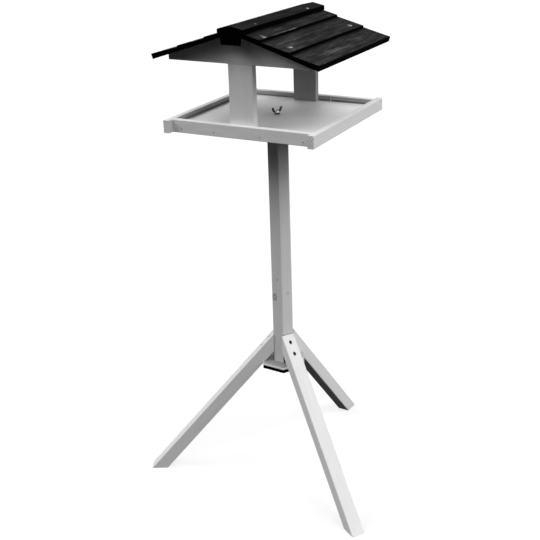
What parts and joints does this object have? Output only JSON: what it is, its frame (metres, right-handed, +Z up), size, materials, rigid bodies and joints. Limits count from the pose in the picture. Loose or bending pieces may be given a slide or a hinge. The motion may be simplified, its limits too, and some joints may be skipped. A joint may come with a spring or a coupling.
{
  "type": "bird table",
  "caption": "Free-standing bird table: a framed feeding tray under a low roof of lapped boards, held by a wing nut on a six-sided post with splayed legs.",
  "frame": {"origin": "on the ground below the axis of the post, where the axis meets the level of the feet", "axes": "+Z up the post; the ridge of the roof runs along Y and the shown gable faces -Y; +X to the right of that gable"},
  "size_m": [0.768, 0.6975, 1.4332],
  "materials": {
    "post_white": "white satin paint over planed softwood",
    "leg_white": "white satin paint over planed softwood",
    "base_plate_white": "white satin paint over planed softwood",
    "base_pad_black": "black wood stain",
    "floor_white": "white satin paint over planed softwood",
    "batten_white": "white satin paint over planed softwood",
    "upright_white": "white satin paint over planed softwood",
    "gable_white": "white satin paint over planed softwood",
    "board_black": "black wood stain, worn along the grain",
    "cap_black": "black wood stain, worn along the grain",
    "end_plate_black": "black wood stain, worn along the grain",
    "screw_dark": "dark zinc",
    "nail_steel": "dull steel",
    "clamp_steel": "bright zinc plate"
  },
  "bodies": {
    "stand": {"post": "post_white", "leg_right": "leg_white", "leg_left": "leg_white", "leg_back": "leg_white", "base_plate": "base_plate_white", "base_pad": "base_pad_black", "leg_screws": "screw_dark", "base_screw": "screw_dark", "stud": "clamp_steel"},
    "house": {"tray_floor": "floor_white", "batten_left": "batten_white", "batten_right": "batten_white", "batten_front": "batten_white", "batten_back": "batten_white", "batten_nails": "nail_steel", "upright_front": "upright_white", "upright_back": "upright_white", "gable_front": "gable_white", "gable_back": "gable_white", "gable_screws": "screw_dark", "floor_screws": "screw_dark", "end_plate_front": "end_plate_black", "end_plate_back": "end_plate_black", "ridge_cap": "cap_black", "cap_screws": "screw_dark", "roof_nails": "nail_steel", "roof_board_left_top": "board_black", "roof_board_left_middle": "board_black", "roof_board_left_bottom": "board_black", "roof_board_right_top": "board_black", "roof_board_right_middle": "board_black", "roof_board_right_bottom": "board_black"},
    "washer": {"washer": "clamp_steel"},
    "wing_nut": {"wing_nut": "clamp_steel"}
  },
  "joints": [
    {"name": "house_turn", "type": "hinge", "parent": "stand", "child": "house", "pos_m": [0, 0, 1.134], "axis": [0, 0, 1], "continuous": true},
    {"name": "nut_rise", "type": "slide", "parent": "stand", "child": "washer", "axis": [0, 0, 1], "range_m": [0, 0.008]},
    {"name": "nut_turn", "type": "hinge", "parent": "washer", "child": "wing_nut", "pos_m": [0, 0, 1.16], "axis": [0, 0, 1], "range_deg": [0, 2881]}
  ],
  "couplings": [
    {"joint": "nut_turn", "follows": "nut_rise", "rad_per_m": 6283.2}
  ]
}
